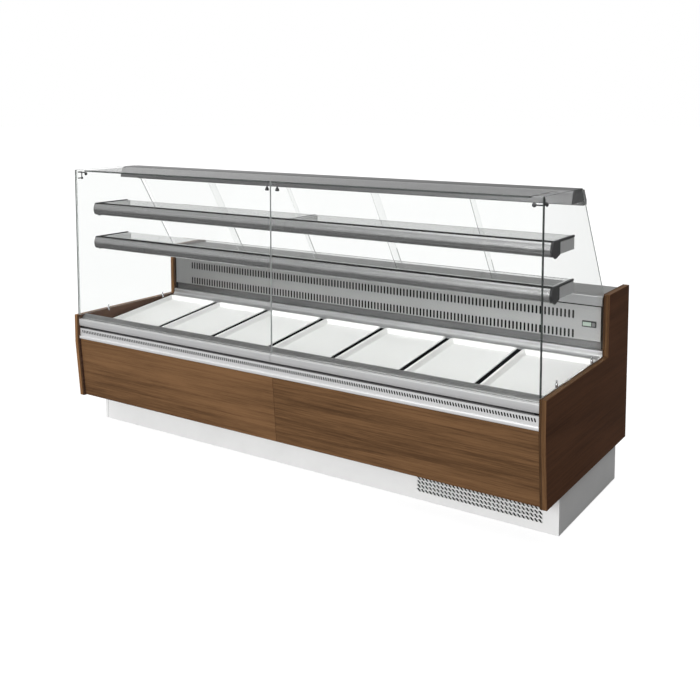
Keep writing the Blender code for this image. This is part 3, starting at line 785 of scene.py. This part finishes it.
# ---- canopy and shelves -------------------------------------------------------------------------
def canopy():
    x0, x1 = span("canopy_beam")[:2]
    shell = [
        (0.2960, 1.2540), (0.3060, 1.2960), (0.3160, 1.3040), (0.3300, 1.3070), (0.4200, 1.3070),
        (0.4200, 1.2540), (0.3900, 1.2540), (0.3900, 1.2570), (0.4170, 1.2570), (0.4170, 1.3040),
        (0.3310, 1.3040), (0.3180, 1.3010), (0.3090, 1.2945), (0.3005, 1.2570), (0.3300, 1.2570),
        (0.3300, 1.2540),
    ]
    extrusion("canopy_shell", shell, x0, x1, "aluminium_dark", radius=0.0016,
              stands_for=["canopy_beam"])
    end = [(0.2975, 1.2552), (0.3070, 1.2955), (0.3165, 1.3030), (0.3300, 1.3058),
           (0.4188, 1.3058), (0.4188, 1.2552)]
    for side, sign in SIDES:
        low, high = mirrored(sign, x1 + 0.0002, x1 + 0.0014)
        prism(f"canopy_end_{side}", rounded(end, 0.002), low, high, "grey_plastic", edge=0.0004)
    cover = [
        (0.3305, 1.2540), (0.3305, 1.2560), (0.3895, 1.2560), (0.3895, 1.2540), (0.3800, 1.2515),
        (0.3400, 1.2515),
    ]
    cover_x = span("light_diffuser")[:2]
    extrusion("lamp_cover", cover, *cover_x, "opal", radius=0.002, stands_for=["light_diffuser"])


def shelves():
    for level in ("upper", "lower"):
        x0, x1, _, _, _, top = span(f"shelf_beam_{level}")
        face = [
            (0.1180, top), (0.1130, top - 0.0045), (0.1085, top - 0.0100), (0.1050, top - 0.020),
            (0.1040, top - 0.0300), (0.1046, top - 0.0375), (0.1066, top - 0.0390),
            (0.1062, top - 0.0440), (0.1105, top - 0.0520), (0.1180, top - 0.0570),
            (0.1500, top - 0.0600), (0.1860, top - 0.0500), (0.1860, top - 0.0075),
            (0.1400, top - 0.0075), (0.1340, top),
        ]
        joint = 0.0005
        cuts = [x0, -joint, joint, x1] if level == "upper" else [x0, x1]
        for n in range(0, len(cuts), 2):
            part = f"_{n // 2 + 1}" if level == "upper" else ""
            beam = extrusion(f"shelf_face_{level}{part}", face, cuts[n], cuts[n + 1], "aluminium",
                             radius=0.0022, stands_for=[f"shelf_beam_{level}"],
                             second=["white_panel"])
            # The upward faces of the ledge under the shelf glass are painted white: painted
            # reflection, so the glass reads as bright as if it reflected the light.
            for patch in beam.data.polygons:
                if patch.normal.z > 0.99 and patch.center.z < top - 0.0070:
                    patch.material_index = 1
        gasket = [(0.1160, top - 0.0012), (0.1160, top + 0.0018), (0.1400, top + 0.0018),
                  (0.1400, top + 0.0004), (0.1190, top - 0.0012)]
        extrusion(f"shelf_seal_{level}", gasket, x0, x1, "rubber", radius=0.0005)
        for side, sign in SIDES:
            shelf_end(level, side, sign, top)
    shelf_joint(span("shelf_beam_upper")[5])


def shelf_end(level, side, sign, top):
    """The black nose cap and the grey arm that carry one end of a shelf."""
    outer = span(f"shelf_end_{level}_right")[1]
    nose = [
        (0.1220, top + 0.0020), (0.1140, top - 0.010), (0.1105, top - 0.030),
        (0.1150, top - 0.049), (0.1450, top - 0.066), (0.1850, top - 0.055),
        (0.1880, top - 0.053), (0.1880, top + 0.0020),
    ]
    cap = mirrored(sign, outer - 0.007, outer)
    prism(f"shelf_nose_{level}_{side}", rounded(nose, 0.003), *cap, "black_plastic",
          edge=0.0008, stands_for=[f"shelf_end_{level}_{side}"])
    arm = mirrored(sign, outer - 0.0275, outer - 0.0005)
    slab(f"shelf_arm_{level}_{side}", (*arm, 0.1884, 0.3360, top - 0.0530, top - 0.0075),
         "arm_grey", edge=0.0015)
    strip = mirrored(sign, outer - 0.007, outer)
    slab(f"shelf_arm_strip_{level}_{side}", (*strip, 0.1884, 0.3370, top - 0.0065, top + 0.0020),
         "black_plastic", edge=0.0008)


def shelf_joint(top):
    """The bracket in the middle of the upper shelf, where its two glasses meet."""
    slab("shelf_bracket_upper", (-0.014, 0.014, 0.1875, 0.3340, top - 0.0420, top - 0.0076),
         "arm_grey", edge=0.0015)
    slab("shelf_joint_cover", (-0.004, 0.004, 0.1402, 0.3352, top + 0.0001, top + 0.0012),
         "aluminium", edge=0.0004)


# ---- glass clamps -------------------------------------------------------------------------------
def knob(name, centre, axis, radius=0.0085, length=0.010, flip=1):
    rings = [(radius * 0.55, 0.0), (radius * 0.60, length * 0.20), (radius * 0.95, length * 0.30),
             (radius, length * 0.42), (radius, length * 0.78), (radius * 0.93, length * 0.92),
             (radius * 0.78, length)]
    turned(name, [(r, flip * z) for r, z in rings], centre, "black_steel", axis=axis, smooth=40.0)


def clamps():
    """Rods and knobs that hold the front panes at the corners and the middle, and foot pegs."""
    rod = 0.0029
    end_face = span("end_glass_right")[0]
    under_top = 1.2990
    wall = end_face - 0.0050
    high = 1.276                             # height of the right corner rod
    pipe("corner_rod_right", [(1.184, 0.019, high), (wall, 0.019, high), (wall, 0.058, high)],
         rod, "black_steel")
    pipe("corner_hanger_right", [(wall, 0.037, high), (wall, 0.037, under_top)], rod,
         "black_steel")
    knob("corner_knob_right", (1.184, 0.0128, high), "y", length=0.009)
    knob("corner_knob_end_right", (end_face - 0.0004, 0.058, high), "x", length=0.0085, flip=-1)
    low = 1.266                              # height of the left end knob
    pipe("corner_rod_left", [(-wall, 0.016, under_top - rod), (-1.166, 0.016, under_top - rod)],
         rod, "black_steel")
    pipe("corner_hanger_left", [(-wall, 0.016, under_top - rod), (-wall, 0.038, under_top - rod),
                                (-wall, 0.038, low), (-wall, 0.016, low)], rod, "black_steel")
    knob("corner_knob_left", (-1.160, 0.0128, under_top - 0.0088), "y", radius=0.0080, length=0.009)
    knob("corner_knob_end_left", (-end_face + 0.0004, 0.038, low), "x", radius=0.0060,
         length=0.0085)
    for side, sign in SIDES:
        for n, f in enumerate((0.190, 0.580)):
            peg(f"foot_peg_{side}_{n + 1}", sign, f)
    bell = [(0.0028, 0.0), (0.0030, -0.004), (0.0060, -0.009), (0.0088, -0.016), (0.0090, -0.019),
            (0.0070, -0.021)]
    for n, x in enumerate((-0.029, 0.026)):
        pipe(f"drop_stem_{n + 1}", [(x, 0.022, under_top), (x, 0.022, 1.284)], 0.0022, "chrome")
        turned(f"drop_knob_{n + 1}", bell, (x, 0.022, 1.286), "black_steel", smooth=40.0)
    slab("pane_clip", (-0.012, 0.010, 0.0135, 0.0175, 1.288, under_top), "chrome")


def peg(name, sign, f):
    face = span("end_glass_right")[0]
    centre = (sign * (face - 0.0075), f, 0.5700)
    rings = [(0.0052, 0.0), (0.0056, 0.002), (0.0056, 0.016), (0.0050, 0.0175), (0.0034, 0.0185),
             (0.0034, 0.028), (0.0028, 0.030)]
    turned(name, rings, centre, "chrome", segments=20)


# ---- base ---------------------------------------------------------------------------------------
def plinth():
    """A folded skirt whose machine bay end has rows of slanted slots before a black board of
    painted shade.
    """
    x0, x1, f0, f1, z0, z1 = span("plinth")
    pitch, count = 0.0177, 31
    start = 0.6235
    first, row_pitch, rows = 0.0340, 0.0165, 6
    levels = (z0, *(first + row_pitch * k for k in range(rows + 1)), z1)
    bm = slotted_sheet(upright(f0), (x0, x1), start, count, pitch, levels, range(1, rows + 1),
                       (0.0106, 0.0138), lean=-0.0038)
    corners = [(x1, f0), (x1, f1), (x0, f1), (x0, f0)]
    for (xa, fa), (xb, fb) in zip(corners, corners[1:]):
        quad = [(xa, fa, z1), (xa, fa, z0), (xb, fb, z0), (xb, fb, z1)]
        bm.faces.new([bm.verts.new((x, behind(f), z)) for x, f, z in quad])
    skirt = settle("plinth_skirt", bm, "white_paint", stands_for=["plinth"])
    thicken(skirt, 0.0015)
    # A black board just behind the slots: painted shade of the bay behind them.
    slab("plinth_shadow_board", (start - 0.010, x1 - 0.004, f0 + 0.0035, f0 + 0.0065, 0.026, z1 - 0.002),
         "shadow_black")
    slab("plinth_seam", (x0 + 0.0175, x0 + 0.0187, f0 - 0.0004, f0 + 0.0010, z0 + 0.001,
                         z1 - 0.001), "grey_plastic", edge=0.0001)


# ---- cooling machine ----------------------------------------------------------------------------
def rotor(node, hub, depth, blades=5):
    """A moulded fan with twisted, cambered blades on a domed hub."""
    x0, x1, f0, f1, z0, z1 = span(node)
    x, f, z = (x0 + x1) / 2, (f0 + f1) / 2, (z0 + z1) / 2
    radius = max(x1 - x0, z1 - z0) / 2 - 0.001
    spokes, chords, sweep = 6, 5, 0.95
    bm = bmesh.new()
    for blade in range(blades):
        grid = []
        for i in range(spokes + 1):
            out = i / spokes
            reach = hub * 0.9 + (radius - hub * 0.9) * out
            row = []
            for j in range(chords + 1):
                t = j / chords - 0.5
                turn = tau * blade / blades + sweep * t + 0.25 * out
                along = depth * (t * (0.85 - 0.35 * out) + 0.25 * (0.25 - t * t))
                row.append(bm.verts.new((x + reach * cos(turn), behind(f + along),
                                         z + reach * sin(turn))))
            grid.append(row)
        for near, far in zip(grid, grid[1:]):
            for j in range(chords):
                bm.faces.new((near[j], near[j + 1], far[j + 1], far[j]))
    wheel = settle(f"{node}_blades", bm, "black_plastic", body=body_of(node), stands_for=[node])
    thick = wheel.modifiers.new("blade", "SOLIDIFY")
    thick.thickness = 0.0014
    thick.offset = 0.0
    half = depth / 2
    rings = [(hub * 0.5, -half), (hub * 0.9, -half * 0.9), (hub, -half * 0.6), (hub, half * 0.8),
             (hub * 0.8, half)]
    turned(f"{node}_hub", rings, (x, f, z), "black_plastic", axis="y", body=body_of(node))


def finned_coil(node, fins, passes, material):
    """A block of thin fins on a copper tube that runs to and fro."""
    x0, x1, f0, f1, z0, z1 = span(node)
    inset, half_fin, bend, tube = 0.018, 0.0004, 0.014, 0.0045
    bm = bmesh.new()
    for k in range(fins):
        x = x0 + inset + (x1 - x0 - 2 * inset) * k / (fins - 1)
        prism_mesh(bm, [(f0, z0), (f1, z0), (f1, z1), (f0, z1)], x - half_fin, x + half_fin, "x")
    settle(f"{node}_fins", bm, material, stands_for=[node])
    step = (z1 - z0) / passes
    f = (f0 + f1) / 2
    path = []
    for k in range(passes):
        z = z0 + (k + 0.5) * step
        ends = (x0 + inset, x1 - inset) if k % 2 == 0 else (x1 - inset, x0 + inset)
        path += [(ends[0], f, z), (ends[1], f, z)]
        if k < passes - 1:
            out = 1 if k % 2 == 0 else -1
            for n in range(1, 6):
                turn = pi * n / 6
                path.append((ends[1] + out * bend * sin(turn), f, z + step * (1 - cos(turn)) / 2))
    pipe(f"{node}_tube", path, tube, "copper")


def compressor():
    x0, x1, f0, f1, z0, z1 = span("compressor")
    x, f = (x0 + x1) / 2, (f0 + f1) / 2
    tall = z1 - z0
    shell, weld = 0.0845, 0.0875
    rings = [(0.0995, 0.0), (0.0995, 0.004), (shell, 0.008), (shell, 0.076), (weld, 0.078),
             (weld, 0.086), (shell, 0.088), (shell, tall - 0.045)]
    rings += [(shell * cos(k * pi / 16), tall - 0.045 + 0.0445 * sin(k * pi / 16))
              for k in range(1, 8)]
    turned("compressor_shell", rings, (x, f, z0), "black_steel", segments=48,
           stands_for=["compressor"])
    for n, turn in enumerate((0.6, 2.7, 4.4)):
        foot = (x + 0.091 * cos(turn), f + 0.091 * sin(turn), z0 + 0.004)
        turned(f"compressor_bolt_{n + 1}", [(0.007, 0.0), (0.007, 0.004), (0.003, 0.0045),
                                            (0.003, 0.010)], foot, "chrome", segments=6)
    slab("compressor_terminals", (x - 0.026, x + 0.026, f + 0.080, f + 0.104, z0 + 0.095,
                                  z0 + 0.150), "black_plastic", edge=0.003)
    condenser = span("condenser_coil")
    pipe("discharge_pipe", [(x + 0.060, f - 0.050, z0 + 0.140), (x + 0.085, f - 0.080, z0 + 0.150),
                            (x + 0.085, f - 0.200, z0 + 0.150),
                            (condenser[0] + 0.020, condenser[3] + 0.045, condenser[5] - 0.020)],
         0.004, "copper")
    pipe("suction_pipe", [(x - 0.060, f - 0.050, z0 + 0.120), (x - 0.080, f - 0.080, z0 + 0.130),
                          (x - 0.080, f - 0.140, z0 + 0.220)], 0.006, "copper")


def fan_mounts():
    """Motors, brackets and the wire guard of the three fans."""
    for node in ("evaporator_fan_1", "evaporator_fan_2"):
        x0, x1, _, _, z0, z1 = span(node)
        x, z = (x0 + x1) / 2, (z0 + z1) / 2
        slab(f"{node}_bracket", (x - 0.055, x + 0.055, 0.3030, 0.3045, z - 0.007, z + 0.007),
             "galvanised", edge=0.0004)
        turned(f"{node}_motor", [(0.015, 0.0), (0.017, 0.002), (0.017, 0.024), (0.012, 0.028)],
               (x, 0.3045, z), "black_plastic", axis="y")
    x0, x1, _, f1, z0, z1 = span("condenser_fan")
    x, z = (x0 + x1) / 2, (z0 + z1) / 2
    guard_f = f1 + 0.006
    shroud_back = span("fan_shroud")[3]
    for n, radius in enumerate((0.045, 0.070, 0.095, 0.116)):
        ring = [(x + radius * cos(tau * k / 40), guard_f, z + radius * sin(tau * k / 40))
                for k in range(40)]
        pipe(f"fan_guard_ring_{n + 1}", ring, 0.0014, "chrome", closed=True)
    for n in range(4):
        turn = pi / 4 + n * pi / 2
        tip = (x + 0.118 * cos(turn), z + 0.118 * sin(turn))
        root = (x + 0.030 * cos(turn), z + 0.030 * sin(turn))
        pipe(f"fan_guard_stay_{n + 1}", [(root[0], guard_f, root[1]), (tip[0], guard_f, tip[1]),
                                         (tip[0], shroud_back, tip[1])], 0.0022, "chrome")
    turned("condenser_motor", [(0.034, 0.0), (0.036, 0.003), (0.036, 0.040), (0.028, 0.046)],
           (x, guard_f, z), "black_steel", axis="y")


# ---- service side -------------------------------------------------------------------------------
def reserve_doors():
    """Seals, grips and hinges of the two cold store doors."""
    for node in ("reserve_door_1", "reserve_door_2"):
        x0, x1, f0, _, z0, z1 = span(node)
        body = body_of(node)
        inset, wide = 0.010, 0.012
        left, right, low, high = x0 + inset, x1 - inset, z0 + inset, z1 - inset
        border = ((left, right, low, low + wide), (left, right, high - wide, high),
                  (left, left + wide, low, high), (right - wide, right, low, high))
        bars(f"{node}_seal", border, f0 - 0.0068, f0 - 0.0002, "rubber", body=body)
        grip = [(0.9384, z1 - 0.0236), (0.9384, z1 - 0.0124), (0.9398, z1 - 0.0136),
                (0.9398, z1 - 0.0226)]
        extrusion(f"{node}_grip", grip, x0 + 0.003, x1 - 0.003, "aluminium_bright",
                  radius=0.0003, body=body)
        for end, low, high in (("top", z1 + 0.0010, z1 + 0.0034),
                               ("foot", z0 - 0.0034, z0 - 0.0010)):
            slab(f"{node}_hinge_{end}", (x0, x0 + 0.024, f0 - 0.0078, f0 + 0.0170, low, high),
                 "stainless", edge=0.0008)
            away = high if end == "top" else low - 0.0030
            turned(f"{node}_pin_{end}", [(0.0050, 0.0), (0.0055, 0.0006), (0.0055, 0.0024),
                                         (0.0045, 0.0030)], (x0 + 0.009, 0.937, away),
                   "chrome", segments=16)


def corner_screws(name, node, inset, rings):
    """A screw in each corner of a panel's rear face."""
    x0, x1, _, f1, z0, z1 = span(node)
    corners = [(x, z) for x in (x0 + inset, x1 - inset) for z in (z0 + inset, z1 - inset)]
    for n, (x, z) in enumerate(corners):
        turned(f"{name}_{n + 1}", rings, (x, f1, z), "chrome", axis="y", segments=16)


def machine_cover():
    """Hoods over the louvre cuts, screws at the corners and a black board of painted shade behind
    them.
    """
    f1 = span("machine_cover")[3]
    cut_x = (0.420, 1.120)
    first, pitch, tall = 0.240, 0.040, 0.012
    for k in range(8):
        z = first + k * pitch
        hood = [(f1 - 0.0004, z + tall + 0.0045), (f1 + 0.0080, z + 0.0010),
                (f1 + 0.0068, z - 0.0002), (f1 - 0.0004, z + tall - 0.0005)]
        prism(f"louvre_hood_{k + 1}", rounded(hood, 0.0006), cut_x[0] - 0.004, cut_x[1] + 0.004,
              "white_paint", edge=0.0003)
    # A black board behind the louvre cuts: painted shade of the bay behind them.
    slab("cover_shadow_board", (cut_x[0] - 0.02, cut_x[1] + 0.02, 0.9140, 0.9165, first - 0.010,
                          first + 8 * pitch), "shadow_black")
    corner_screws("cover_screw", "machine_cover", 0.014,
                  [(0.0048, 0.0), (0.0048, 0.0008), (0.0038, 0.0020), (0.0016, 0.0023),
                   (0.0014, 0.0012)])


def control_details():
    """A display, a pilot lamp, screws and raised frames around the two controls."""
    _, _, _, f1, z0, z1 = span("control_panel")
    middle = (z0 + z1) / 2
    slab("control_display_frame", (0.712, 0.782, f1 - 0.0005, f1 + 0.0018, middle - 0.019,
                                   middle + 0.019), "black_plastic", edge=0.0015)
    slab("control_display", (0.718, 0.776, f1 + 0.0016, f1 + 0.0022, middle - 0.012,
                             middle + 0.012), "display_green", edge=0.0003)
    rim, gap = 0.0030, 0.0004
    for name, (a, b, c, d) in (("rocker", (0.655, 0.685, 0.688, 0.732)),
                               ("key", (0.800, 0.822, 0.699, 0.721))):
        border = ((a - rim, b + rim, c - rim, c - gap), (a - rim, b + rim, d + gap, d + rim),
                  (a - rim, a - gap, c, d), (b + gap, b + rim, c, d))
        bars(f"{name}_frame", border, f1 - 0.0002, f1 + 0.0010, "grey_plastic")
    turned("pilot_lamp", [(0.0042, 0.0), (0.0042, 0.0012), (0.0034, 0.0026), (0.0016, 0.0034)],
           (0.850, f1, middle), "display_green", axis="y", segments=20)
    corner_screws("control_screw", "control_panel", 0.008,
                  [(0.0030, 0.0), (0.0030, 0.0006), (0.0022, 0.0014)])


def repaint(materials):
    for material, nodes in materials.items():
        for node in nodes.split():
            mesh = frame["nodes"][node].data
            mesh.materials.clear()
            mesh.materials.append(MATERIALS[material])


def plain_nodes():
    """CAD nodes whose shape is kept as it is."""
    repaint({
        "liner": "insulated_tub reserve_liner machine_bulkhead",
        "galvanised": "base_frame fan_plate",
        "aluminium": "door_track_upper",
        "aluminium_mid": "door_track_lower",
        "stainless_dark": "worktop",
        "white_panel": "rear_frame reserve_door_1 reserve_door_2",
        "white_paint": "machine_cover",
        "grey_paint": "control_panel",
        "black_steel": "fan_shroud",
        "black_plastic": "light_switch thermostat_button",
    })
    for node in ("worktop", "door_track_lower", "door_track_upper", "reserve_door_1",
                 "reserve_door_2", "control_panel", "light_switch", "thermostat_button"):
        bevel = frame["nodes"][node].modifiers.new("edges", "BEVEL")
        bevel.width = 0.0007
        bevel.segments = 2
        bevel.limit_method = "ANGLE"


# ---- stage, lamps and camera --------------------------------------------------------------------
FLOOR_RADIUS, FLOOR_TONE, FLOOR_GLOW = 60.0, 0.20, 0.87
FLOOR_DROP = 0.0005                          # keeps the floor clear of the feet
LIGHT_FROM = (-0.75, -0.55, 0.36)            # where the surround is brightest
LIGHT_REACH = 0.9
DARKEST, BRIGHTEST = 0.05, 0.80
LAMPS = (                                    # name, direction, strength, spread in degrees
    ("front_fill", (0.02, -0.95, 0.24), 1.75, 30.0),
    ("overhead", (-0.12, -0.10, 0.98), 0.8, 50.0),
    ("rear_fill", (0.0, 0.66, 0.75), 0.8, 40.0),
)
EYE = (2.473, -3.601, 1.640)
LENS, SENSOR, SHIFT = 48.43, 36.0, -0.2361
TURN, PITCH_DOWN = 33.431, 5.0               # degrees


def seen_directly(tree):
    """One for rays that have met nothing but clear glass, and zero for bounced light."""
    path = tree.nodes.new("ShaderNodeLightPath")

    def combine(operation, first, second):
        step = add_node(tree, "ShaderNodeMath", operation=operation)
        for socket, value in zip(step.inputs, (first, second)):
            if isinstance(value, float):
                socket.default_value = value
            else:
                tree.links.new(value, socket)
        return step.outputs[0]

    sight = combine("MAXIMUM", path.outputs["Is Camera Ray"], path.outputs["Is Transmission Ray"])
    bounces = combine("ADD", path.outputs["Diffuse Depth"], path.outputs["Glossy Depth"])
    return combine("MULTIPLY", sight, combine("LESS_THAN", bounces, 0.5))


def stage():
    bm = bmesh.new()
    bmesh.ops.create_circle(bm, cap_ends=True, segments=96, radius=FLOOR_RADIUS)
    mesh = bpy.data.meshes.new("floor")
    bm.to_mesh(mesh)
    bm.free()
    floor = bpy.data.objects.new("floor", mesh)
    bpy.context.scene.collection.objects.link(floor)
    floor.location.z = -FLOOR_DROP
    tone = (FLOOR_TONE,) * 3
    paint = Paint("floor_paint", tone, 0.85)
    mottle = paint.noise((0.8, 0.8, 0.8), detail=3.0)
    paint.set("Base Color", paint.ramp(mottle, ((0.3, shade(tone, 0.975)),
                                                (0.7, shade(tone, 1.025)))))
    paint.shader.inputs["Emission Color"].default_value = (1.0, 1.0, 1.0, 1.0)
    glow = paint.node("ShaderNodeMath", operation="MULTIPLY")
    glow.inputs[1].default_value = FLOOR_GLOW
    paint.link(seen_directly(paint.tree), glow.inputs[0])
    paint.set("Emission Strength", glow.outputs[0])
    mesh.materials.append(paint.material)


def sun(name, source, strength, spread):
    """A soft lamp far away in the direction of source."""
    light = bpy.data.lights.new(name, "SUN")
    light.energy = strength
    light.angle = radians(spread)
    lamp = bpy.data.objects.new(name, light)
    lamp.rotation_euler = Vector(source).to_track_quat("Z", "Y").to_euler()
    bpy.context.scene.collection.objects.link(lamp)


def world():
    """A pale surround whose light is strongest from the front left and above."""
    surround = bpy.data.worlds.new("surround")
    bpy.context.scene.world = surround
    surround.use_nodes = True
    tree = surround.node_tree
    background = tree.nodes["Background"]
    coords = tree.nodes.new("ShaderNodeTexCoord")
    toward = add_node(tree, "ShaderNodeVectorMath", operation="DOT_PRODUCT")
    toward.inputs[1].default_value = Vector(LIGHT_FROM).normalized()
    tree.links.new(coords.outputs["Generated"], toward.inputs[0])
    ramp = add_node(tree, "ShaderNodeMapRange", interpolation_type="SMOOTHSTEP",
                    From_Min=-LIGHT_REACH, From_Max=LIGHT_REACH, To_Min=DARKEST, To_Max=BRIGHTEST)
    tree.links.new(toward.outputs["Value"], ramp.inputs["Value"])
    mix = add_node(tree, "ShaderNodeMix", data_type="FLOAT")
    mix.inputs[3].default_value = 1.0
    tree.links.new(seen_directly(tree), mix.inputs[0])
    tree.links.new(ramp.outputs["Result"], mix.inputs[2])
    tree.links.new(mix.outputs[0], background.inputs["Strength"])
    background.inputs["Color"].default_value = (1.0, 1.0, 1.0, 1.0)


def camera():
    data = bpy.data.cameras.new("camera")
    data.lens = LENS
    data.sensor_width = SENSOR
    data.shift_y = SHIFT
    view = bpy.data.objects.new("camera", data)
    view.location = EYE
    view.rotation_euler = (radians(90.0 - PITCH_DOWN), 0.0, radians(TURN))
    bpy.context.scene.collection.objects.link(view)
    bpy.context.scene.camera = view


make_materials()
side_panels()
front_boards()
front_rail()
vent_profile()
trays()
deck()
duct_panel()
thermometer()
panes()
canopy()
shelves()
clamps()
plinth()
for fan, hub_radius, blade_depth in (("evaporator_fan_1", 0.0130, 0.022),
                                     ("evaporator_fan_2", 0.0130, 0.022),
                                     ("condenser_fan", 0.0290, 0.036)):
    rotor(fan, hub_radius, blade_depth)
finned_coil("evaporator_coil", 110, 4, "aluminium")
finned_coil("condenser_coil", 60, 9, "black_steel")
compressor()
fan_mounts()
reserve_doors()
machine_cover()
control_details()
plain_nodes()
stage()
world()
for lamp in LAMPS:
    sun(*lamp)
camera()
bpy.context.scene.view_settings.view_transform = "Standard"
